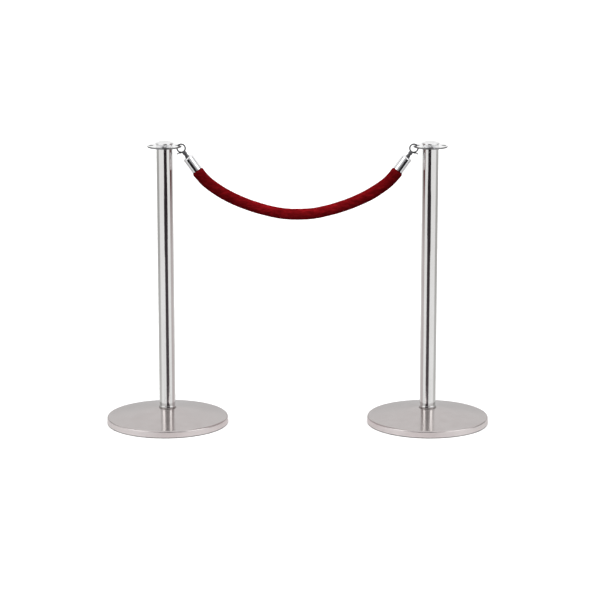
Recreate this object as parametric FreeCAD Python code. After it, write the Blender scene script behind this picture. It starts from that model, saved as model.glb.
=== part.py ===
import FreeCAD, Part
import math
import os

Vector = FreeCAD.Vector

# Rope barrier: two weighted posts joined by a velvet rope that hooks into their crown
# plates. Millimetres, +Z up, the posts stand on Z = 0 at X = -410 and X = +410, and the
# rope hangs in the plane Y = 0. The origin is on the floor, midway between the posts.

# ---------------------------------------------------------------- driving dimensions
post_spacing = 820.0

# base: a spun cover over a cast weight, on a rubber ring
base_radius = 190.0
sheet_thickness = 1.5
rim_foot_height = 2.0
rim_corner_radius = 6.0
rim_top_height = 23.0
shoulder_radius = 176.0
shoulder_height = 24.2
apex_height = 50.0
apex_radius = 31.0
weight_radius = 183.0
weight_bottom = 5.0
weight_disc_top = 17.0
weight_boss_radius = 34.0
floor_ring_inner_radius = 170.0
fit_gap = 0.2

# foot of the post: bolt, washer and the collar round the tube
bolt_radius = 6.0
bolt_head_across_flats = 19.0
bolt_head_height = 7.5
bolt_reach = 76.0
washer_radius = 17.0
washer_thickness = 2.5
recess_radius = 20.0
recess_roof = 16.0
collar_radius = 27.8
collar_height = 8.0
collar_end_inset = 1.2

# tube
tube_radius = 25.5
tube_wall = 1.2
plug_length = 34.0

# crown: the plate that takes the hooks, and the cap that clamps it
plate_radius = 53.0
plate_bottom = 880.5
plate_thickness = 2.5
plate_edge_break = 0.3
plate_skirt_bottom = 878.4
plate_skirt_radius = 51.2
hook_hole_radius = 7.4
hook_hole_circle = 41.0
hook_hole_count = 4
stud_radius = 4.0
stud_bottom = 862.0
stud_top = 892.0
cap_waist_top = 886.4
cap_lip_radius = 28.0
cap_lip_bottom = 888.2
cap_lip_top = 891.4
cap_lip_round = 1.0
cap_top = 898.5

# rope: the route of its left half, from the mouth of the ferrule to the lowest run
rope_route_left = [
    (-310.5, 805.5),
    (-293.7, 781.4),
    (-265.0, 756.3),
    (-223.0, 728.3),
    (-168.5, 702.6),
    (-108.0, 682.4),
    (-43.0, 667.4),
]
rope_radius = 17.2
core_radius = 13.4
sheath_bore_radius = 13.5
sheath_neck_radius = 15.4
arc_share_of_run = 0.45

# ferrule, measured along the rope's end from the centre of the hook's ring
ferrule_mouth = 84.0
ferrule_top = 33.0
ferrule_radius = 17.0
ferrule_wall = 1.5
ferrule_corner = 6.0
rope_neck_start = 46.0
end_plug_finish = 76.0
screw_stations = (55.0, 69.0)
screw_radius = 1.5
screw_head_radius = 2.8
screw_head_height = 1.5
screw_length = 9.0

# swivel: the hook's neck turns in the hole in the ferrule's top
neck_radius = 3.0
swivel_clearance = 0.08
end_play = 0.4
swivel_washer_radius = 8.0
swivel_washer_thickness = 1.0
rivet_radius = 5.5
rivet_thickness = 2.7
stem_root_radius = 4.4
stem_belly_radius = 6.5
stem_belly_station = 17.0
stem_shoulder_radius = 6.0
stem_shoulder_station = 23.0
stem_waist_radius = 5.0
stem_waist_stations = (24.6, 26.6)
flange_radius = 6.8
flange_station = 28.2

# hook: a ring of round wire whose lower left arc is the gate
ring_radius = 12.6
wire_radius = 2.35
pivot_angle = 257.0
pivot_distance = 13.8
gate_reach = 13.3
gate_tip_gap = 0.35
hook_arc_start = 290.0
tip_arc_start = 150.0
tip_arc_end = 204.0
knuckle_inner_radius = 10.7
knuckle_outer_radius = 15.8
knuckle_end_angle = 297.0
knuckle_half_width = 3.1
slot_half_width = 1.8
slot_radius = 4.4
eye_radius = 3.2
boss_radius = 3.3
gate_half_width = 1.4
eye_top = 0.0
flat_radius = 4.7
cutter_half_width = 5.0
pin_radius = 1.0
pin_clearance = 0.06
lever_angle = 206.0
lever_length = 12.4
lever_thickness = 3.0
lever_neck_half_width = 1.3
lever_pad_half_width = 3.0
spring_loop_radius = 2.2
spring_wire_radius = 0.3
spring_short_leg = 1.1
spring_long_leg = 3.2

# ---------------------------------------------------------------- derived places
plate_top = plate_bottom + plate_thickness
tube_bore_radius = tube_radius - tube_wall
mouth = Vector(rope_route_left[0][0], 0, rope_route_left[0][1])
second = Vector(rope_route_left[1][0], 0, rope_route_left[1][1])
rope_end_direction = (second - mouth).normalize()
ring_centre = mouth - rope_end_direction * ferrule_mouth
rope_dip = math.degrees(math.atan2(-rope_end_direction.z, rope_end_direction.x))
pivot = Vector(
    pivot_distance * math.cos(math.radians(pivot_angle)),
    0,
    pivot_distance * math.sin(math.radians(pivot_angle)),
)

ORIGIN = Vector(0, 0, 0)
X_AXIS = Vector(1, 0, 0)
Y_AXIS = Vector(0, 1, 0)
Z_AXIS = Vector(0, 0, 1)


# ---------------------------------------------------------------- helpers
def turned(start, *steps):
    """Solid turned about Z. A step is a point (radius, height) or an arc (through, end)."""
    edges = []
    here = Vector(start[0], 0, start[1])
    for step in steps + (start,):
        if isinstance(step[0], tuple):
            through = Vector(step[0][0], 0, step[0][1])
            there = Vector(step[1][0], 0, step[1][1])
            edges.append(Part.Arc(here, through, there).toShape())
        else:
            there = Vector(step[0], 0, step[1])
            edges.append(Part.makeLine(here, there))
        here = there
    face = Part.Face(Part.Wire(edges))
    return face.revolve(ORIGIN, Z_AXIS, 360)


def rod(radius, bottom, top):
    """Cylinder on the Z axis between two heights."""
    return Part.makeCylinder(radius, top - bottom, Vector(0, 0, bottom))


def ring(outer_radius, inner_radius, bottom, top):
    """Flat ring on the Z axis."""
    return rod(outer_radius, bottom, top).cut(rod(inner_radius, bottom, top))


def quarter_point(centre_radius, centre_height, radius):
    """Middle of the quarter round that faces outwards and upwards."""
    reach = radius * math.sqrt(0.5)
    return (centre_radius + reach, centre_height + reach)


def across(radius, low, high, centre):
    """Cylinder along Y through a point of the plane Y = 0."""
    return Part.makeCylinder(radius, high - low, Vector(centre.x, low, centre.z), Y_AXIS)


def along_rope_end(shape):
    """Turns a shape built on +Z so that +Z runs from the ring down the rope's end."""
    placed = shape.copy()
    placed.rotate(ORIGIN, Y_AXIS, 90 + rope_dip)
    return placed


def wire_arc(start_angle, end_angle):
    """Arc of the hook's ring, its angles counted from +X towards +Z about the ring's centre."""
    start = math.radians(start_angle)
    centre = Vector(ring_radius * math.cos(start), 0, ring_radius * math.sin(start))
    tangent = Vector(-math.sin(start), 0, math.cos(start))
    section = Part.Face(Part.Wire(Part.makeCircle(wire_radius, centre, tangent)))
    return section.revolve(ORIGIN, -Y_AXIS, end_angle - start_angle)


def joined(first, *others):
    """Union with its seams cleaned away."""
    return first.multiFuse(list(others)).removeSplitter()


# ---------------------------------------------------------------- one post, on the Z axis
def base_cover():
    """Spun cover: vertical rim, round corner, flat shoulder and a shallow cone."""
    inner = base_radius - sheet_thickness
    corner_centre = base_radius - rim_corner_radius
    corner_height = rim_top_height - rim_corner_radius
    inner_corner = rim_corner_radius - sheet_thickness
    slope = (apex_height - shoulder_height) / (shoulder_radius - apex_radius)
    drop = sheet_thickness * math.sqrt(1 + slope * slope)
    return turned(
        (inner, rim_foot_height),
        (base_radius, rim_foot_height),
        (base_radius, corner_height),
        (
            quarter_point(corner_centre, corner_height, rim_corner_radius),
            (corner_centre, rim_top_height),
        ),
        (shoulder_radius, shoulder_height),
        (apex_radius, apex_height),
        (bolt_radius + 1.0, apex_height),
        (bolt_radius + 1.0, apex_height - sheet_thickness),
        (apex_radius, apex_height - sheet_thickness),
        (shoulder_radius, shoulder_height - drop),
        (corner_centre, rim_top_height - sheet_thickness),
        (quarter_point(corner_centre, corner_height, inner_corner), (inner, corner_height)),
    )


def base_weight():
    """Cast disc with a boss that carries the cover's apex, recessed below for the bolt."""
    boss_top = apex_height - sheet_thickness
    boss_draft = 8.0
    edge_break = 2.0
    body = turned(
        (0, weight_bottom),
        (weight_radius - edge_break, weight_bottom),
        (weight_radius, weight_bottom + edge_break),
        (weight_radius, weight_disc_top - edge_break),
        (weight_radius - edge_break, weight_disc_top),
        (weight_boss_radius + boss_draft, weight_disc_top),
        (apex_radius - edge_break, boss_top),
        (0, boss_top),
    )
    recess = rod(recess_radius, weight_bottom, recess_roof)
    bolt_hole = rod(bolt_radius + 0.5, recess_roof, boss_top)
    return body.cut(recess).cut(bolt_hole)


def floor_ring():
    """Rubber ring: a tread under the rim and the weight, and a lip inside the rim."""
    lip_radius = base_radius - sheet_thickness - fit_gap
    tread_radius = base_radius - 0.5
    return turned(
        (floor_ring_inner_radius, 0),
        (tread_radius, 0),
        (tread_radius, rim_foot_height),
        (lip_radius, rim_foot_height),
        (lip_radius, weight_bottom),
        (floor_ring_inner_radius, weight_bottom),
    )


def foot_collar():
    """Bead of half-round section that hides the joint between the tube and the cover."""
    bore = tube_radius + 0.05
    middle = apex_height + collar_height / 2
    collar_top = apex_height + collar_height
    return turned(
        (bore, apex_height),
        (collar_radius - collar_end_inset, apex_height),
        ((collar_radius, middle), (collar_radius - collar_end_inset, collar_top)),
        (bore, collar_top),
    )


def tube():
    return ring(tube_radius, tube_bore_radius, apex_height, plate_bottom)


def tube_foot_plug():
    """Steel plug pressed into the tube's foot, tapped blind for the base bolt."""
    body = rod(tube_bore_radius, apex_height, apex_height + plug_length)
    return body.cut(rod(bolt_radius, apex_height, bolt_reach + 3.0))


def base_bolt():
    """Hexagon bolt that pulls the tube down on the base from below."""
    head_top = recess_roof - washer_thickness
    corner_radius = bolt_head_across_flats / math.sqrt(3)
    corners = []
    for corner in range(7):
        angle = math.radians(60 * corner)
        corners.append(
            Vector(corner_radius * math.cos(angle), corner_radius * math.sin(angle), head_top)
        )
    head = Part.Face(Part.makePolygon(corners)).extrude(Vector(0, 0, -bolt_head_height))
    crown = turned(
        (0, head_top - bolt_head_height),
        (bolt_head_across_flats / 2 - 0.4, head_top - bolt_head_height),
        (corner_radius, head_top - bolt_head_height + 1.2),
        (corner_radius, head_top),
        (0, head_top),
    )
    return joined(head.common(crown), rod(bolt_radius, head_top, bolt_reach))


def base_washer():
    return ring(washer_radius, bolt_radius + 0.5, recess_roof - washer_thickness, recess_roof)


def tube_head_plug():
    """Steel plug pressed into the tube's head, tapped blind for the crown stud."""
    body = rod(tube_bore_radius, plate_bottom - plug_length, plate_bottom)
    return body.cut(rod(stud_radius, stud_bottom, plate_bottom))


def crown_plate():
    """Disc with a turned-down rim and a ring of plain holes that the rope hooks drop into."""
    broken_radius = plate_radius - plate_edge_break
    plate = turned(
        (stud_radius + 0.3, plate_bottom),
        (plate_skirt_radius, plate_bottom),
        (plate_skirt_radius, plate_skirt_bottom),
        (broken_radius, plate_skirt_bottom),
        (plate_radius, plate_skirt_bottom + plate_edge_break),
        (plate_radius, plate_top - plate_edge_break),
        (broken_radius, plate_top),
        (stud_radius + 0.3, plate_top),
    )
    for index in range(hook_hole_count):
        hole = rod(hook_hole_radius, plate_bottom, plate_top)
        hole.translate(Vector(hook_hole_circle, 0, 0))
        hole.rotate(ORIGIN, Z_AXIS, 360 / hook_hole_count * index)
        plate = plate.cut(hole)
    return plate


def crown_stud():
    return rod(stud_radius, stud_bottom, stud_top)


def crown_cap():
    """Turned cap: a waist on the plate that flares to an upright lip under a low dome."""
    dome_edge = cap_lip_radius - cap_lip_round
    dome_foot = cap_lip_top + cap_lip_round
    dome_rise = cap_top - dome_foot
    dome_radius = (dome_edge ** 2 + dome_rise ** 2) / (2 * dome_rise)
    half_angle = math.asin(dome_edge / dome_radius) / 2
    half_way = (
        dome_radius * math.sin(half_angle),
        cap_top - dome_radius * (1 - math.cos(half_angle)),
    )
    body = turned(
        (0, plate_top),
        (tube_radius, plate_top),
        (tube_radius, cap_waist_top),
        (cap_lip_radius, cap_lip_bottom),
        (cap_lip_radius, cap_lip_top),
        (quarter_point(dome_edge, cap_lip_top, cap_lip_round), (dome_edge, dome_foot)),
        (half_way, (0, cap_top)),
    )
    return body.cut(rod(stud_radius, plate_top, stud_top))


# ---------------------------------------------------------------- one rope end
# Built about the centre of the hook's ring; parts on the rope's axis are built on +Z.
def ferrule():
    """Chrome cup with a rounded top, bored for the swivel and the side screws."""
    corner_centre = ferrule_radius - ferrule_corner
    corner_height = ferrule_top + ferrule_corner
    inner_corner = ferrule_corner - ferrule_wall
    reach = math.sqrt(0.5)
    hole_radius = neck_radius + swivel_clearance
    lip_break = 0.4
    cup = turned(
        (hole_radius, ferrule_top),
        (corner_centre, ferrule_top),
        (
            (corner_centre + ferrule_corner * reach, corner_height - ferrule_corner * reach),
            (ferrule_radius, corner_height),
        ),
        (ferrule_radius, ferrule_mouth - lip_break),
        (ferrule_radius - lip_break, ferrule_mouth),
        (ferrule_radius - ferrule_wall, ferrule_mouth),
        (ferrule_radius - ferrule_wall, corner_height),
        (
            (corner_centre + inner_corner * reach, corner_height - inner_corner * reach),
            (corner_centre, ferrule_top + ferrule_wall),
        ),
        (hole_radius, ferrule_top + ferrule_wall),
    )
    return cup.cut(screw_holes(screw_radius + 0.2))


def screw_holes(radius):
    """Radial holes on the +Y side of the ferrule, down to the screws' points."""
    holes = []
    for station in screw_stations:
        start = Vector(0, ferrule_radius - screw_length, station)
        holes.append(Part.makeCylinder(radius, screw_length + 1.0, start, Y_AXIS))
    return Part.makeCompound(holes)


def ferrule_screws():
    """Two pan-head screws that pin the rope's end in the ferrule."""
    screws = []
    for station in screw_stations:
        point = Vector(0, ferrule_radius - screw_length, station)
        shank = Part.makeCylinder(screw_radius, screw_length + 0.2, point, Y_AXIS)
        seat = Vector(0, ferrule_radius, station)
        head = Part.makeCone(
            screw_head_radius, screw_head_radius - 0.7, screw_head_height, seat, Y_AXIS
        )
        slot_width = 0.7
        slot = Part.makeBox(
            2 * screw_head_radius,
            screw_head_height,
            slot_width,
            seat + Vector(-screw_head_radius, screw_head_height / 2, -slot_width / 2),
        )
        screws.append(joined(shank, head).cut(slot))
    return Part.makeCompound(screws)


def rope_end_plug():
    """Wooden dowel inside the rope's end, which the ferrule's screws bite into."""
    dowel = rod(core_radius, rope_neck_start, end_plug_finish)
    return dowel.cut(screw_holes(screw_radius))


def swivel_washer():
    """Washer under the ferrule's top that spreads the load of the riveted neck."""
    start = ferrule_top + ferrule_wall
    return ring(swivel_washer_radius, neck_radius + 0.2, start, start + swivel_washer_thickness)


def hook_stem():
    """Barrel, waist and flange of the hook's stem, with the neck and its rivet head."""
    flange_end = ferrule_top - end_play
    rivet_start = ferrule_top + ferrule_wall + swivel_washer_thickness + end_play
    rivet_end = rivet_start + rivet_thickness
    rivet_edge_break = 0.8
    stem_root = ring_radius - 1.5
    waist_start, waist_end = stem_waist_stations
    return turned(
        (0, stem_root),
        (stem_root_radius, stem_root),
        ((stem_belly_radius, stem_belly_station), (stem_shoulder_radius, stem_shoulder_station)),
        (stem_waist_radius, waist_start),
        (stem_waist_radius, waist_end),
        (flange_radius, flange_station),
        (flange_radius, flange_end),
        (neck_radius, flange_end),
        (neck_radius, rivet_start),
        (rivet_radius, rivet_start),
        (rivet_radius - rivet_edge_break, rivet_end),
        (0, rivet_end),
    )


def knuckle():
    """Two cheeks that hold the gate's pin, on a thickened stretch of the ring."""
    low = -knuckle_half_width
    high = knuckle_half_width
    band = across(knuckle_outer_radius, low, high, ORIGIN)
    band = band.cut(across(knuckle_inner_radius, low, high, ORIGIN))
    reach = 2 * knuckle_outer_radius
    corners = [Vector(0, low, 0)]
    for angle in (pivot_angle, (pivot_angle + knuckle_end_angle) / 2, knuckle_end_angle):
        turn = math.radians(angle)
        corners.append(Vector(reach * math.cos(turn), low, reach * math.sin(turn)))
    corners.append(corners[0])
    sector = Part.Face(Part.makePolygon(corners)).extrude(Vector(0, high - low, 0))
    cheeks = band.common(sector).fuse(across(boss_radius, low, high, pivot))
    cheeks = cheeks.removeSplitter()
    slot = across(slot_radius, -slot_half_width, slot_half_width, pivot)
    return cheeks.cut(slot).cut(across(pin_radius, low, high, pivot))


def hook():
    """Fixed part of the snap hook: most of the ring, the knuckle and the swivel stem."""
    tip_space = across(gate_reach + gate_tip_gap, -cutter_half_width, cutter_half_width, pivot)
    tip = wire_arc(tip_arc_start, tip_arc_end).cut(tip_space)
    gate_space = across(slot_radius, -slot_half_width, slot_half_width, pivot)
    body = joined(
        wire_arc(hook_arc_start, tip_arc_start + 360),
        tip,
        along_rope_end(hook_stem()),
        knuckle(),
    )
    return body.cut(gate_space)


def gate_lever():
    """Thumb lever: a flat tail that widens to a rounded pad, built along +X from the pivot."""
    neck = lever_neck_half_width
    pad = lever_pad_half_width
    shoulder = 4.8
    pad_start = 7.6
    edge_round = 0.45
    outline = [
        Part.makeLine(Vector(0, -neck, 0), Vector(shoulder, -neck, 0)),
        Part.makeLine(Vector(shoulder, -neck, 0), Vector(pad_start, -pad, 0)),
        Part.makeLine(Vector(pad_start, -pad, 0), Vector(lever_length - pad, -pad, 0)),
        Part.Arc(
            Vector(lever_length - pad, -pad, 0),
            Vector(lever_length, 0, 0),
            Vector(lever_length - pad, pad, 0),
        ).toShape(),
        Part.makeLine(Vector(lever_length - pad, pad, 0), Vector(pad_start, pad, 0)),
        Part.makeLine(Vector(pad_start, pad, 0), Vector(shoulder, neck, 0)),
        Part.makeLine(Vector(shoulder, neck, 0), Vector(0, neck, 0)),
        Part.makeLine(Vector(0, neck, 0), Vector(0, -neck, 0)),
    ]
    tail = Part.Face(Part.Wire(outline)).extrude(Vector(0, 0, lever_thickness))
    tail.translate(Vector(0, 0, -lever_thickness / 2))
    long_edges = [edge for edge in tail.Edges if abs(edge.tangentAt(edge.FirstParameter).z) < 0.5]
    tail = tail.makeFillet(edge_round, long_edges)
    tail.rotate(ORIGIN, Y_AXIS, -lever_angle)
    tail.translate(pivot)
    return tail


def gate():
    """Moving arc of the ring with its flat eye on the pin and its thumb lever."""
    arc = wire_arc(tip_arc_start + 30, pivot_angle)
    low = -cutter_half_width
    high = cutter_half_width
    arc = arc.common(across(gate_reach, low, high, pivot))
    eye = across(eye_radius, -gate_half_width, gate_half_width, pivot)
    body = joined(arc, eye, gate_lever())
    body = body.cut(across(flat_radius, low, -gate_half_width, pivot))
    body = body.cut(across(flat_radius, gate_half_width, high, pivot))
    spring_room = across(eye_radius + 0.3, eye_top, gate_half_width, pivot)
    return body.cut(spring_room).cut(across(pin_radius + pin_clearance, low, high, pivot))


def gate_pin():
    head_room = 0.3
    half_length = knuckle_half_width + head_room
    return across(pin_radius, -half_length, half_length, pivot)


def gate_spring():
    """Hairpin spring of one loop round the pin, beside the gate's eye, with two short legs."""
    plane = (eye_top + slot_half_width) / 2
    loop = spring_loop_radius
    loop_start = Vector(loop, plane, 0)
    loop_end = Vector(0, plane, -loop)
    far_side = Vector(-loop * math.sqrt(0.5), plane, loop * math.sqrt(0.5))
    short_leg = loop_start - Z_AXIS * spring_short_leg
    long_leg = loop_end + X_AXIS * spring_long_leg
    path = Part.Wire([
        Part.makeLine(short_leg, loop_start),
        Part.Arc(loop_start, far_side, loop_end).toShape(),
        Part.makeLine(loop_end, long_leg),
    ])
    section = Part.Wire(Part.makeCircle(spring_wire_radius, short_leg, Z_AXIS))
    spring = path.makePipeShell([section], True, True)
    spring.translate(pivot)
    return spring


# ---------------------------------------------------------------- rope
def rope_points():
    """Route of the rope in the plane Y = 0, the right half mirroring the left."""
    left = [Vector(x, 0, z) for x, z in rope_route_left]
    right = [Vector(-x, 0, z) for x, z in reversed(rope_route_left)]
    return left + right


def rope_path(points):
    """Straight runs joined by tangent arcs as large as the runs allow."""
    edges = []
    here = points[0]
    for before, corner, after in zip(points, points[1:], points[2:]):
        back = (before - corner).normalize()
        ahead = (after - corner).normalize()
        half_turn = (math.pi - back.getAngle(ahead)) / 2
        cut_back = arc_share_of_run * min((before - corner).Length, (after - corner).Length)
        radius = cut_back / math.tan(half_turn)
        arc_start = corner + back * cut_back
        arc_end = corner + ahead * cut_back
        inward = (back + ahead).normalize()
        middle = corner + inward * (radius / math.cos(half_turn) - radius)
        edges.append(Part.LineSegment(here, arc_start).toShape())
        edges.append(Part.Arc(arc_start, middle, arc_end).toShape())
        here = arc_end
        turn = math.degrees(2 * half_turn)
        print("rope corner at x %.0f: turn %.1f deg, radius %.0f mm" % (corner.x, turn, radius))
    edges.append(Part.LineSegment(here, points[-1]).toShape())
    return Part.Wire(edges)


def tube_along(path, radius):
    """Round solid that follows a path from end to end."""
    start = path.Edges[0].valueAt(path.Edges[0].FirstParameter)
    direction = path.Edges[0].tangentAt(path.Edges[0].FirstParameter)
    section = Part.Wire(Part.makeCircle(radius, start, direction))
    solid = path.makePipeShell([section], True, True)
    expected = math.pi * radius ** 2 * path.Length
    print("tube radius %.2f: volume %.4f of section x length" % (radius, solid.Volume / expected))
    return solid


def both_ends(shape):
    """The same shape at the rope's left end and, mirrored, at its right end."""
    left = along_rope_end(shape)
    left.translate(ring_centre)
    return left, left.mirror(ORIGIN, X_AXIS)


def rope_sheath(path):
    """Velvet sleeve, squeezed to a neck inside each ferrule."""
    sleeve = tube_along(path, rope_radius).cut(tube_along(path, sheath_bore_radius))
    neck = ring(sheath_neck_radius, sheath_bore_radius, rope_neck_start, ferrule_mouth)
    neck = neck.cut(screw_holes(screw_radius + 0.2))
    return joined(sleeve, *both_ends(neck))


def rope_core(path):
    """Cotton and foam core, from dowel to dowel."""
    tail = rod(core_radius, end_plug_finish, ferrule_mouth)
    return joined(tube_along(path, core_radius), *both_ends(tail))


# ---------------------------------------------------------------- assembly
def save(node, shape):
    kind = "ok" if shape.isValid() else "INVALID"
    print("%-26s %2d solids  %10.0f mm3  %s" % (node, len(shape.Solids), shape.Volume, kind))
    shape.exportStep(os.path.join("parts", node + ".step"))


def save_posts():
    pieces = (
        base_cover,
        base_weight,
        floor_ring,
        foot_collar,
        tube,
        tube_foot_plug,
        base_bolt,
        base_washer,
        tube_head_plug,
        crown_plate,
        crown_stud,
        crown_cap,
    )
    for build_piece in pieces:
        for side, direction in (("left", -1), ("right", 1)):
            placed = build_piece()
            placed.translate(Vector(direction * post_spacing / 2, 0, 0))
            save(build_piece.__name__ + "_" + side, placed)


def save_rope_ends():
    for build_piece in (ferrule, ferrule_screws, rope_end_plug, swivel_washer):
        left, right = both_ends(build_piece())
        save(build_piece.__name__ + "_left", left)
        save(build_piece.__name__ + "_right", right)
    for build_piece in (hook, gate, gate_pin, gate_spring):
        left = build_piece()
        left.translate(ring_centre)
        save(build_piece.__name__ + "_left", left)
        save(build_piece.__name__ + "_right", left.mirror(ORIGIN, X_AXIS))


def main():
    os.makedirs("parts", exist_ok=True)
    save_posts()
    save_rope_ends()
    path = rope_path(rope_points())
    print("rope between the ferrules: %.1f mm" % path.Length)
    print("ring centre", ring_centre, "pivot", ring_centre + pivot, "dip %.2f" % rope_dip)
    save("rope_sheath", rope_sheath(path))
    save("rope_core", rope_core(path))


main()
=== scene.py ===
import math
import bpy
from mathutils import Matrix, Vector, noise


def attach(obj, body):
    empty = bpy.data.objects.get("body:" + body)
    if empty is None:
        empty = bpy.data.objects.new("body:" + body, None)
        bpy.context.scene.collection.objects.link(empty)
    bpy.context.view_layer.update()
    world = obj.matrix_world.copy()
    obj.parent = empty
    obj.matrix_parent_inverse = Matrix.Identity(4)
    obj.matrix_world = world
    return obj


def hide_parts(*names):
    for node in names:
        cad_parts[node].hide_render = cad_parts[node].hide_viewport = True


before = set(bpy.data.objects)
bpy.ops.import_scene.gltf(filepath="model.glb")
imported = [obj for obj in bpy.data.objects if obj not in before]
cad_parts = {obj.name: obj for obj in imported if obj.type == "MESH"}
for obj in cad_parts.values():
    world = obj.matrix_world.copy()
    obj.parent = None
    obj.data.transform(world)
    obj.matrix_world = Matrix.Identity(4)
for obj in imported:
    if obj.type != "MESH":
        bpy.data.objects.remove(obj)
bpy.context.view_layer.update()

# ---------------------------------------------------------------- dimensions, in metres
POST_X = 0.41

# the rope's route between the mouths of its ferrules, left half; the right half mirrors it
ROPE_ROUTE_LEFT = [
    (-0.3105, 0.8055),
    (-0.2937, 0.7814),
    (-0.2650, 0.7563),
    (-0.2230, 0.7283),
    (-0.1685, 0.7026),
    (-0.1080, 0.6824),
    (-0.0430, 0.6674),
]
ROPE_DIAMETER = 0.0344
ROPE_NECK_RADIUS = 0.0153
ROPE_TUCK = 0.010
TUCK_STEPS = 4
STEPS_PER_SPAN = 30
ROPE_SIDES = 72

# the sleeve fills out from its neck over the flare, and is fuller on the slopes
FLARE_LENGTH = 0.007
SLOPE_END = 0.10
MIDDLE_START = 0.26
SLOPE_SWELL = 0.0010

# the sleeve's relief: depths of lumps and nap with how many of them go to a metre
LUMPS = [(0.0004, 28.0), (0.00022, 90.0), (0.00012, 420.0)]
PLEATS = 14
PLEAT_DEPTH = 0.00035
PLEAT_FADE = 0.02
PLEAT_DRIFT = 3
PLEAT_DRIFT_WAVES = 40
SEAM_ANGLE = 1.7 * math.pi - 0.15
SEAM_WIDTH = 0.05
SEAM_DEPTH = 0.0007
BULGE_PLACE = 0.010
BULGE_LENGTH = 0.006
BULGE_HEIGHT = 0.0003

# the upward part of the normal at which the rim's duller finish and painted lighter tone begin and
# end giving way
RIM_TILT = 0.10
TOP_TILT = 0.45

# places of the cards that the steel reflects, and the colour of a card unless it says another
FRONT_PANEL_HALF_WIDTH = 0.63
FRONT_PANEL_Y = -1.56
FAR_FRONT_Y = -6.0
FAR_FRONT_HALF_WIDTH = 5.1
FAR_FRONT_FOOT = 3.2
FAR_FRONT_HEAD = 7.0
SHOULDER_Y = -3.5
FLOOR_HALF_WIDTH = 200.0
SOFTBOX_HEIGHT = 3.4
WHITE = (1.0, 1.0, 1.0)


# ---------------------------------------------------------------- camera
def make_camera():
    """Long lens in front of the posts, above their heads and looking down a little."""
    level = 90
    look_down = 12.75
    data = bpy.data.cameras.new("camera")
    data.lens = 147.7
    data.sensor_width = 36.0
    camera = bpy.data.objects.new("camera", data)
    camera.location = (0.0077, -7.5, 2.092)
    camera.rotation_euler = (math.radians(level - look_down), 0, 0)
    bpy.context.collection.objects.link(camera)
    bpy.context.scene.camera = camera


# ---------------------------------------------------------------- mesh helpers
def add_mesh(name, vertices, faces):
    mesh = bpy.data.meshes.new(name)
    mesh.from_pydata(vertices, [], faces)
    mesh.update()
    mesh.shade_smooth()
    piece = bpy.data.objects.new(name, mesh)
    bpy.context.collection.objects.link(piece)
    return piece


# ---------------------------------------------------------------- rope
def rope_route():
    left = [Vector((x, 0, z)) for x, z in ROPE_ROUTE_LEFT]
    right = [Vector((-x, 0, z)) for x, z in reversed(ROPE_ROUTE_LEFT)]
    return left + right


def spline_points(route, steps):
    """Points of the smooth line that the route's points control."""
    data = bpy.data.curves.new("rope_line", "CURVE")
    data.dimensions = "3D"
    spline = data.splines.new("NURBS")
    spline.points.add(len(route) - 1)
    for point, place in zip(spline.points, route):
        point.co = (*place, 1)
    spline.order_u = 3
    spline.use_endpoint_u = True
    spline.resolution_u = steps
    line = bpy.data.objects.new("rope_line", data)
    bpy.context.collection.objects.link(line)
    mesh = bpy.data.meshes.new_from_object(line)
    points = [v.co.copy() for v in mesh.vertices]
    bpy.data.objects.remove(line)
    bpy.data.curves.remove(data)
    bpy.data.meshes.remove(mesh)
    return points


def smooth_step(value):
    """Rises from 0 to 1 without a kink, and holds still outside."""
    held = min(max(value, 0.0), 1.0)
    return held * held * (3 - 2 * held)


def rope_spine(line):
    """The rope's line with a short straight tuck into each ferrule."""
    first = (line[0] - line[1]).normalized()
    last = (line[-1] - line[-2]).normalized()
    step = ROPE_TUCK / TUCK_STEPS
    into_left = [line[0] + first * step * (TUCK_STEPS - i) for i in range(TUCK_STEPS)]
    into_right = [line[-1] + last * step * (i + 1) for i in range(TUCK_STEPS)]
    return into_left + line + into_right


def full_radius(from_mouth):
    """Radius of the filled sleeve: a little more on the slopes than at the middle."""
    slope = smooth_step((MIDDLE_START - from_mouth) / (MIDDLE_START - SLOPE_END))
    return ROPE_DIAMETER / 2 + SLOPE_SWELL * slope


def sleeve_relief(place, centre, angle, from_mouth):
    """Lumps and nap, pleats and a bulge by the mouths, and a sewn seam along the back."""
    relief = sum(depth * noise.noise(place * waves) for depth, waves in LUMPS)
    gather = math.exp(-max(from_mouth, 0.0) / PLEAT_FADE)
    drift = PLEAT_DRIFT * noise.noise(centre * PLEAT_DRIFT_WAVES)
    relief += PLEAT_DEPTH * gather * math.sin(angle * PLEATS + drift)
    relief -= SEAM_DEPTH * math.exp(-((angle - SEAM_ANGLE) / SEAM_WIDTH) ** 2)
    relief += BULGE_HEIGHT * math.exp(-((from_mouth - BULGE_PLACE) / BULGE_LENGTH) ** 2)
    return relief


def sleeve_ring(centre, tangent, from_mouth):
    """Points once round the sleeve."""
    side = Vector((0, 1, 0))
    up = tangent.cross(side).normalized()
    flare = smooth_step(from_mouth / FLARE_LENGTH)
    full = full_radius(from_mouth)
    points = []
    for j in range(ROPE_SIDES):
        angle = 2 * math.pi * j / ROPE_SIDES
        outward = side * math.cos(angle) + up * math.sin(angle)
        relief = sleeve_relief(centre + outward * full, centre, angle, from_mouth)
        radius = ROPE_NECK_RADIUS + (full - ROPE_NECK_RADIUS + relief) * flare
        points.append(centre + outward * radius)
    return points


def sleeve_faces(rings):
    """Quads between the rings, and a cap on each end."""
    faces = []
    for i in range(rings - 1):
        here = i * ROPE_SIDES
        there = here + ROPE_SIDES
        for j in range(ROPE_SIDES):
            k = (j + 1) % ROPE_SIDES
            faces.append((here + j, here + k, there + k, there + j))
    faces.append(tuple(range(ROPE_SIDES))[::-1])
    last = (rings - 1) * ROPE_SIDES
    faces.append(tuple(last + j for j in range(ROPE_SIDES)))
    return faces


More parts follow.
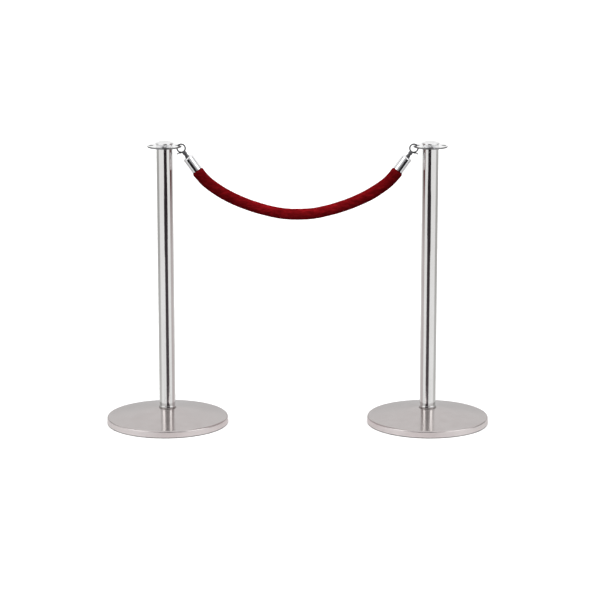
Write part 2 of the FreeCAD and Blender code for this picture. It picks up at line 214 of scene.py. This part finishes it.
def make_rope():
    """Velvet sleeve, which hangs as a cord between the two ferrules."""
    line = spline_points(rope_route(), STEPS_PER_SPAN)
    spine = rope_spine(line)
    distance = [0.0]
    for here, there in zip(spine, spine[1:]):
        distance.append(distance[-1] + (there - here).length)
    total = distance[-1]
    vertices = []
    for i, centre in enumerate(spine):
        before = spine[max(i - 1, 0)]
        after = spine[min(i + 1, len(spine) - 1)]
        from_mouth = min(distance[i], total - distance[i]) - ROPE_TUCK
        vertices += sleeve_ring(centre, (after - before).normalized(), from_mouth)
    rope = add_mesh("velvet_rope", vertices, sleeve_faces(len(spine)))
    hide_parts("rope_sheath")
    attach(rope, "rope")
    return rope


# ---------------------------------------------------------------- materials
class Nodes:
    """Short calls for building a material's nodes."""

    def __init__(self, name):
        self.material = bpy.data.materials.new(name)
        self.material.use_nodes = True
        self.tree = self.material.node_tree
        self.shader = self.tree.nodes["Principled BSDF"]

    def add(self, kind, **values):
        node = self.tree.nodes.new(kind)
        for key, value in values.items():
            setattr(node, key, value)
        return node

    def link(self, source, target):
        self.tree.links.new(source, target)

    def set(self, **values):
        for key, value in values.items():
            self.shader.inputs[key.replace("_", " ")].default_value = value

    def place(self, scale=(1, 1, 1)):
        """Position on the object at rest, scaled along each axis."""
        coordinates = self.add("ShaderNodeTexCoord")
        mapping = self.add("ShaderNodeMapping")
        mapping.inputs["Scale"].default_value = scale
        self.link(coordinates.outputs["Object"], mapping.inputs["Vector"])
        return mapping.outputs["Vector"]

    def noise(self, vector, scale=1.0, detail=3.0, roughness=0.5):
        node = self.add("ShaderNodeTexNoise")
        node.inputs["Scale"].default_value = scale
        node.inputs["Detail"].default_value = detail
        node.inputs["Roughness"].default_value = roughness
        self.link(vector, node.inputs["Vector"])
        return node.outputs["Fac"]

    def spread(self, value, low, high, start=0.0, end=1.0):
        node = self.add("ShaderNodeMapRange")
        node.inputs["From Min"].default_value = start
        node.inputs["From Max"].default_value = end
        node.inputs["To Min"].default_value = low
        node.inputs["To Max"].default_value = high
        self.link(value, node.inputs["Value"])
        return node.outputs["Result"]

    def math(self, operation, first, second=None):
        node = self.add("ShaderNodeMath", operation=operation)
        for socket, value in zip(node.inputs, (first, second)):
            if value is None:
                continue
            if isinstance(value, (int, float)):
                socket.default_value = value
            else:
                self.link(value, socket)
        return node.outputs["Value"]

    def ramp(self, value, stops):
        node = self.add("ShaderNodeValToRGB")
        band = node.color_ramp
        while len(band.elements) < len(stops):
            band.elements.new(0.5)
        for element, (position, colour) in zip(band.elements, stops):
            element.position = position
            element.color = (*colour, 1)
        self.link(value, node.inputs["Fac"])
        return node.outputs["Color"]

    def colour(self, output):
        self.link(output, self.shader.inputs["Base Color"])

    def roughness(self, output):
        self.link(output, self.shader.inputs["Roughness"])

    def bump(self, height, distance):
        node = self.add("ShaderNodeBump")
        node.inputs["Distance"].default_value = distance
        self.link(height, node.inputs["Height"])
        self.link(node.outputs["Normal"], self.shader.inputs["Normal"])


def tube_steel():
    """Polished stainless tube: long faint draw lines and soft handling marks."""
    m = Nodes("tube_polished_steel")
    m.set(Metallic=1.0)
    lines = m.noise(m.place((900, 900, 3)), detail=4.0)
    marks = m.noise(m.place((30, 30, 9)), detail=5.0, roughness=0.6)
    m.colour(m.ramp(marks, [(0.3, (0.70, 0.69, 0.68)), (0.7, (0.75, 0.745, 0.74))]))
    m.roughness(m.spread(m.math("ADD", lines, marks), 0.05, 0.13, start=0.7, end=1.4))
    m.bump(lines, 0.000004)
    return m.material


def distance_from_post(m, across, deep):
    """Distance of a point from the axis of its own post."""
    squares = m.math("ADD", m.math("MULTIPLY", across, across), m.math("MULTIPLY", deep, deep))
    return m.math("SQRT", squares)


def spun_steel():
    """Spun base cover: fine turned rings about the post, and a duller rim with a painted lighter
    tone in place of the brighter reflection it shows.
    """
    m = Nodes("spun_base_steel")
    m.set(Metallic=1.0, Specular_Tint=(0.80, 0.80, 0.80, 1))
    coordinates = m.add("ShaderNodeTexCoord")
    parts = m.add("ShaderNodeSeparateXYZ")
    m.link(coordinates.outputs["Object"], parts.inputs["Vector"])
    across = m.math("SUBTRACT", m.math("ABSOLUTE", parts.outputs["X"]), POST_X)
    radius = distance_from_post(m, across, parts.outputs["Y"])
    ring_place = m.add("ShaderNodeCombineXYZ")
    m.link(m.math("MULTIPLY", radius, 2600.0), ring_place.inputs["X"])
    m.link(m.math("MULTIPLY", parts.outputs["Z"], 1500.0), ring_place.inputs["Y"])
    m.link(m.math("MULTIPLY", across, 5.0), ring_place.inputs["Z"])
    rings = m.noise(ring_place.outputs["Vector"], detail=4.0, roughness=0.65)
    marks = m.noise(m.place((22, 22, 22)), detail=5.0, roughness=0.6)
    geometry = m.add("ShaderNodeNewGeometry")
    facing = m.add("ShaderNodeSeparateXYZ")
    m.link(geometry.outputs["Normal"], facing.inputs["Vector"])
    upward = facing.outputs["Z"]
    top_colour = m.ramp(marks, [(0.3, (0.512, 0.474, 0.467)), (0.7, (0.548, 0.512, 0.505))])
    # painted light: the rim, picked out by which way its surface faces, gets a much lighter colour
    # than the top
    rim_painted_light = m.ramp(marks, [(0.3, (0.79, 0.735, 0.73)), (0.7, (0.84, 0.785, 0.78))])
    mix = m.add("ShaderNodeMix", data_type="RGBA")
    m.link(m.spread(upward, 1.0, 0.0, start=RIM_TILT, end=TOP_TILT), mix.inputs["Factor"])
    m.link(top_colour, mix.inputs["A"])
    m.link(rim_painted_light, mix.inputs["B"])
    m.colour(mix.outputs["Result"])
    satin = m.spread(upward, 0.45, 0.0, start=RIM_TILT, end=TOP_TILT)
    rubbed = m.spread(m.math("ADD", rings, marks), 0.10, 0.20, start=0.6, end=1.4)
    m.roughness(m.math("ADD", satin, rubbed))
    m.bump(rings, 0.000005)
    return m.material


def bright_chrome(name, low, high, rough_low, rough_high, grain=140.0):
    """Plated metal with faint polishing waviness and a duller film where it is handled."""
    m = Nodes(name)
    m.set(Metallic=1.0)
    pit_grain = grain * 9
    film = m.noise(m.place((grain, grain, grain)), detail=5.0, roughness=0.6)
    pits = m.noise(m.place((pit_grain, pit_grain, pit_grain)), detail=2.0)
    m.colour(m.ramp(film, [(0.3, low), (0.7, high)]))
    m.roughness(m.spread(film, rough_low, rough_high, start=0.3, end=0.7))
    m.bump(pits, 0.000006)
    return m.material


def crown_steel():
    """Polished plate whose rim and underside are left dull, with painted shade that darkens them.
    """
    m = Nodes("crown_plate_steel")
    m.set(Metallic=1.0)
    film = m.noise(m.place((140, 140, 140)), detail=5.0, roughness=0.6)
    edge_grain = m.noise(m.place((400, 400, 2500)))
    geometry = m.add("ShaderNodeNewGeometry")
    parts = m.add("ShaderNodeSeparateXYZ")
    m.link(geometry.outputs["Normal"], parts.inputs["Vector"])
    face = m.spread(parts.outputs["Z"], 0.0, 1.0, start=0.80, end=0.95)
    bright = m.ramp(film, [(0.3, (0.84, 0.84, 0.84)), (0.7, (0.90, 0.90, 0.905))])
    # painted shade: the rim and underside, picked out by which way they face, get a dark colour
    dark = m.ramp(edge_grain, [(0.3, (0.17, 0.17, 0.175)), (0.7, (0.26, 0.26, 0.265))])
    mix = m.add("ShaderNodeMix", data_type="RGBA")
    m.link(face, mix.inputs["Factor"])
    m.link(dark, mix.inputs["A"])
    m.link(bright, mix.inputs["B"])
    m.colour(mix.outputs["Result"])
    m.roughness(m.spread(face, 0.32, 0.07))
    m.bump(edge_grain, 0.000006)
    return m.material


def dull_metal(name, dark, light, rough, grain, depth):
    """Unseen metal, as cast or as machined."""
    m = Nodes(name)
    m.set(Metallic=1.0)
    grains = m.noise(m.place((grain, grain, grain)), detail=6.0, roughness=0.65)
    m.colour(m.ramp(grains, [(0.3, dark), (0.7, light)]))
    m.roughness(m.spread(grains, rough - 0.1, rough + 0.1, start=0.3, end=0.7))
    m.bump(grains, depth)
    return m.material


def soft_stuff(name, dark, light, rough, grain, depth):
    """Rubber, wood or cotton, with an even grain."""
    m = Nodes(name)
    grains = m.noise(m.place(), grain, detail=6.0, roughness=0.6)
    m.colour(m.ramp(grains, [(0.3, dark), (0.7, light)]))
    m.roughness(m.spread(grains, rough - 0.08, rough + 0.08, start=0.3, end=0.7))
    m.bump(grains, depth)
    return m.material


def velvet():
    """Cut pile: short upright nap, crushed in streaks, with painted shade that darkens the rope
    toward its ends.
    """
    m = Nodes("rope_velvet")
    m.set(
        Sheen_Weight=0.42,
        Sheen_Roughness=0.35,
        Sheen_Tint=(0.92, 0.03, 0.06, 1),
        Specular_IOR_Level=0.0,
    )
    crush = m.noise(m.place((40, 120, 120)), detail=5.0, roughness=0.65)
    streaks = m.noise(m.place((150, 620, 620)), roughness=0.6)
    pile = m.noise(m.place((2600, 2600, 2600)), detail=2.0)
    soft = m.math("ADD", m.math("MULTIPLY", crush, 0.55), m.math("MULTIPLY", streaks, 0.25))
    mixed = m.math("ADD", soft, m.math("MULTIPLY", pile, 0.2))
    coordinates = m.add("ShaderNodeTexCoord")
    parts = m.add("ShaderNodeSeparateXYZ")
    m.link(coordinates.outputs["Object"], parts.inputs["Vector"])
    from_middle = m.math("ABSOLUTE", parts.outputs["X"])
    # painted shade: the colour darkens toward the rope's ends, where the rope slopes away from the
    # light above
    fall = m.spread(from_middle, 1.03, 0.88, start=0.12, end=0.31)
    m.colour(m.ramp(m.math("MULTIPLY", mixed, fall), [
        (0.32, (0.055, 0.0014, 0.0022)),
        (0.50, (0.160, 0.0036, 0.0056)),
        (0.66, (0.330, 0.0080, 0.0120)),
    ]))
    m.roughness(m.spread(mixed, 0.78, 0.95, start=0.3, end=0.7))
    m.bump(pile, 0.0004)
    return m.material


def give(material, *nodes):
    """Puts the material on every slot of the named CAD nodes."""
    for node in nodes:
        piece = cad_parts[node]
        for material_slot in piece.material_slots:
            material_slot.material = material


def both(*names):
    """The node names of the left and the right piece."""
    return [name + "_" + side for name in names for side in ("left", "right")]


def finish_metals():
    chrome = bright_chrome("crown_chrome", (0.80, 0.80, 0.80), (0.86, 0.86, 0.865), 0.04, 0.09)
    collar = bright_chrome("collar_steel", (0.52, 0.51, 0.505), (0.58, 0.57, 0.565), 0.05, 0.10)
    fitting = bright_chrome("ferrule_chrome", (0.82, 0.82, 0.83), (0.88, 0.88, 0.89), 0.03, 0.07)
    nickel = bright_chrome(
        "hook_nickel_plate", (0.10, 0.10, 0.105), (0.17, 0.17, 0.178), 0.22, 0.32, grain=300.0
    )
    dark_nickel = bright_chrome(
        "pin_nickel_plate", (0.14, 0.14, 0.15), (0.22, 0.22, 0.23), 0.15, 0.25, grain=300.0
    )
    give(tube_steel(), *both("tube"))
    give(spun_steel(), *both("base_cover"))
    give(collar, *both("foot_collar"))
    give(chrome, *both("crown_cap"))
    give(crown_steel(), *both("crown_plate"))
    give(fitting, *both("ferrule"))
    give(nickel, *both("hook", "gate"))
    give(dark_nickel, *both("gate_pin", "gate_spring", "ferrule_screws"))


def finish_inside():
    """Pieces inside the covers, tubes, ferrules and sleeve, and the rubber rings."""
    machined = dull_metal(
        "machined_steel", (0.40, 0.39, 0.38), (0.52, 0.51, 0.50), 0.35, 400.0, 0.00001
    )
    cast = dull_metal("cast_iron", (0.06, 0.06, 0.062), (0.13, 0.13, 0.13), 0.65, 260.0, 0.0002)
    rubber = soft_stuff(
        "black_rubber", (0.012, 0.012, 0.013), (0.03, 0.03, 0.032), 0.7, 500.0, 0.0001
    )
    wood = soft_stuff("beech_wood", (0.34, 0.20, 0.10), (0.55, 0.36, 0.20), 0.6, 300.0, 0.0001)
    cotton = soft_stuff("white_cotton", (0.55, 0.52, 0.46), (0.78, 0.76, 0.70), 0.9, 700.0, 0.0004)
    give(machined, *both("tube_foot_plug", "base_bolt", "base_washer"))
    give(machined, *both("tube_head_plug", "crown_stud", "swivel_washer"))
    give(cast, *both("base_weight"))
    give(rubber, *both("floor_ring"))
    give(wood, *both("rope_end_plug"))
    give(cotton, "rope_core")


# ---------------------------------------------------------------- studio
def emitter(name, colour, strength):
    """Plain glowing surface."""
    material = bpy.data.materials.new(name)
    material.use_nodes = True
    tree = material.node_tree
    tree.nodes.clear()
    glow = tree.nodes.new("ShaderNodeEmission")
    glow.inputs["Color"].default_value = (*colour, 1)
    glow.inputs["Strength"].default_value = strength
    output = tree.nodes.new("ShaderNodeOutputMaterial")
    tree.links.new(glow.outputs["Emission"], output.inputs["Surface"])
    return material


def card(name, start, end, low, high, colour=WHITE, strength=1.0):
    """Upright panel from one place on the floor plan to another, seen only in reflections."""
    corners = [(*start, low), (*end, low), (*end, high), (*start, high)]
    panel = add_mesh(name, corners, [(0, 1, 2, 3)])
    panel.data.materials.append(emitter(name, colour, strength))
    only_reflected(panel)
    return panel


def fade_with_height(panel, low, high, head_colour, foot_colour):
    """The panel's glow goes from one colour below the low height to another above the high."""
    tree = panel.data.materials[0].node_tree
    glow = next(node for node in tree.nodes if node.type == "EMISSION")
    coordinates = tree.nodes.new("ShaderNodeTexCoord")
    parts = tree.nodes.new("ShaderNodeSeparateXYZ")
    height = tree.nodes.new("ShaderNodeMapRange")
    height.inputs["From Min"].default_value = low
    height.inputs["From Max"].default_value = high
    mix = tree.nodes.new("ShaderNodeMix")
    mix.data_type = "RGBA"
    mix.inputs["A"].default_value = (*foot_colour, 1)
    mix.inputs["B"].default_value = (*head_colour, 1)
    tree.links.new(coordinates.outputs["Object"], parts.inputs["Vector"])
    tree.links.new(parts.outputs["Z"], height.inputs["Value"])
    tree.links.new(height.outputs["Result"], mix.inputs["Factor"])
    tree.links.new(mix.outputs["Result"], glow.inputs["Color"])


def only_reflected(panel):
    """Hides the panel from everything but glossy rays."""
    panel.visible_camera = False
    panel.visible_diffuse = False
    panel.visible_shadow = False
    panel.visible_transmission = False


def level_sheet(name, half_width, front, back, height):
    """Level rectangle at one height, from the front to the back."""
    corners = [
        (-half_width, front, height),
        (half_width, front, height),
        (half_width, back, height),
        (-half_width, back, height),
    ]
    return add_mesh(name, corners, [(0, 1, 2, 3)])


def make_floor():
    """Pale floor for the camera, kept out of reflections and bounced light."""
    floor = level_sheet("floor", FLOOR_HALF_WIDTH, -FLOOR_HALF_WIDTH, FLOOR_HALF_WIDTH, 0)
    material = bpy.data.materials.new("pale_floor")
    material.use_nodes = True
    shader = material.node_tree.nodes["Principled BSDF"]
    shader.inputs["Base Color"].default_value = (0.95, 0.95, 0.95, 1)
    shader.inputs["Roughness"].default_value = 1.0
    shader.inputs["Specular IOR Level"].default_value = 0.0
    floor.data.materials.append(material)
    floor.visible_glossy = False
    floor.visible_diffuse = False


def make_world():
    """White in every reflection and behind the object; as light, soft from above."""
    world = bpy.data.worlds.new("studio")
    bpy.context.scene.world = world
    world.use_nodes = True
    tree = world.node_tree
    tree.nodes.clear()
    coordinates = tree.nodes.new("ShaderNodeTexCoord")
    parts = tree.nodes.new("ShaderNodeSeparateXYZ")
    tree.links.new(coordinates.outputs["Generated"], parts.inputs["Vector"])
    fall = tree.nodes.new("ShaderNodeMapRange")
    fall.inputs["From Min"].default_value = -0.6
    fall.inputs["From Max"].default_value = 0.8
    fall.inputs["To Min"].default_value = 0.16
    fall.inputs["To Max"].default_value = 1.0
    tree.links.new(parts.outputs["Z"], fall.inputs["Value"])
    light = tree.nodes.new("ShaderNodeBackground")
    tree.links.new(fall.outputs["Result"], light.inputs["Strength"])
    seen = tree.nodes.new("ShaderNodeBackground")
    seen.inputs["Strength"].default_value = 1.0
    for node in (light, seen):
        node.inputs["Color"].default_value = (1, 1, 1, 1)
    path = tree.nodes.new("ShaderNodeLightPath")
    mix = tree.nodes.new("ShaderNodeMixShader")
    tree.links.new(path.outputs["Is Diffuse Ray"], mix.inputs["Fac"])
    tree.links.new(seen.outputs["Background"], mix.inputs[1])
    tree.links.new(light.outputs["Background"], mix.inputs[2])
    output = tree.nodes.new("ShaderNodeOutputWorld")
    tree.links.new(mix.outputs["Shader"], output.inputs["Surface"])


def make_lights():
    """Two very soft suns that no reflection shows: left front, and right and behind."""
    for name, strength, tilt, turn in (("key_light", 1.2, 32, -25), ("fill_light", 0.8, 20, 150)):
        data = bpy.data.lights.new(name, "SUN")
        data.energy = strength
        data.angle = math.radians(70)
        lamp = bpy.data.objects.new(name, data)
        lamp.rotation_euler = (math.radians(tilt), 0, math.radians(turn))
        lamp.visible_glossy = False
        bpy.context.collection.objects.link(lamp)


def front_card(name, low, high, colour=WHITE):
    """Card of the front panel's width in the front panel's place."""
    left = (-FRONT_PANEL_HALF_WIDTH, FRONT_PANEL_Y)
    right = (FRONT_PANEL_HALF_WIDTH, FRONT_PANEL_Y)
    return card(name, left, right, low, high, colour)


def side_cards(side, sign):
    """Cards that stand on both sides of the middle; the sign mirrors them."""

    def mirrored(name, start, end, low, high, colour=WHITE, strength=1.0):
        near = (sign * start[0], start[1])
        far = (sign * end[0], end[1])
        return card(name + "_" + side, near, far, low, high, colour, strength)

    grey = mirrored("grey_panel", (2.39, -0.28), (1.82, 1.41), -0.47, 0.62)
    fade_with_height(grey, -0.47, 0.3, (0.50, 0.50, 0.49), (0.66, 0.66, 0.65))
    mirrored(
        "bright_front", (FAR_FRONT_HALF_WIDTH, FAR_FRONT_Y), (8.5, -1.5),
        FAR_FRONT_FOOT, FAR_FRONT_HEAD, strength=2.3,
    )
    mirrored("low_dark", (3.4, -25.0), (16.8, -18.9), -24.0, -7.0, (0.012, 0.012, 0.013))
    mirrored(
        "dark_step", (0.625, FRONT_PANEL_Y), (0.76, FRONT_PANEL_Y), 0.22, 0.46,
        (0.012, 0.011, 0.014),
    )
    mirrored(
        "inner_shoulder", (0.5, SHOULDER_Y), (2.5, SHOULDER_Y), 1.0, 2.0, (0.55, 0.55, 0.56)
    )
    mirrored("outer_shoulder", (2.5, SHOULDER_Y), (5.2, -2.4), 1.15, 2.4, (0.80, 0.80, 0.82))
    mirrored("end_panel", (1.9, -0.6), (1.7, 0.9), 1.5, 2.3, (0.60, 0.60, 0.61))
    mirrored("low_end", (2.3, -1.6), (1.9, 1.4), -3.0, -0.75, (0.60, 0.60, 0.61))


def far_front_card(name, half_width, y, colour):
    """Card across the front, far from the posts and above their heads."""
    left = (-half_width, y)
    right = (half_width, y)
    return card(name, left, right, FAR_FRONT_FOOT, FAR_FRONT_HEAD, colour)


def make_cards():
    front = front_card("dark_front_panel", -0.38, 0.645)
    fade_with_height(front, -0.38, 0.55, (0.026, 0.019, 0.023), (0.095, 0.080, 0.088))
    divider = card("middle_panel", (0.0, -0.125), (0.0, 0.27), -0.07, 0.84)
    fade_with_height(divider, 0.45, 0.85, (0.14, 0.07, 0.065), (0.62, 0.57, 0.57))
    for side, sign in (("left", -1), ("right", 1)):
        side_cards(side, sign)
    front_card("low_front_panel", -1.6, -0.385, (1.30, 1.20, 1.19))
    head = front_card("head_panel", 0.655, 1.1)
    fade_with_height(head, 0.66, 1.05, (0.58, 0.58, 0.59), (0.03, 0.03, 0.035))
    card("crown_back_panel", (-0.2, 0.4), (0.2, 0.4), 0.845, 0.95, (0.45, 0.45, 0.46))
    far_front_card("upper_front_panel", FAR_FRONT_HALF_WIDTH, FAR_FRONT_Y, (0.62, 0.60, 0.60))
    far_front_card("upper_front_stripe", 1.3, FAR_FRONT_Y + 0.1, (0.42, 0.40, 0.40))
    back = card("back_panel", (-2.6, 3.0), (2.6, 3.0), -1.0, 0.9)
    fade_with_height(back, -0.1, 0.9, WHITE, (0.74, 0.73, 0.73))
    overhead = level_sheet("overhead_softbox", 3, -1.6, 1.8, SOFTBOX_HEIGHT)
    overhead.data.materials.append(emitter("overhead_softbox", WHITE, 1.1))
    only_reflected(overhead)


def make_studio():
    bpy.context.scene.view_settings.view_transform = "Standard"
    make_world()
    make_floor()
    make_lights()
    make_cards()


# ---------------------------------------------------------------- scene
make_camera()
rope = make_rope()
rope.data.materials.append(velvet())
finish_metals()
finish_inside()
make_studio()
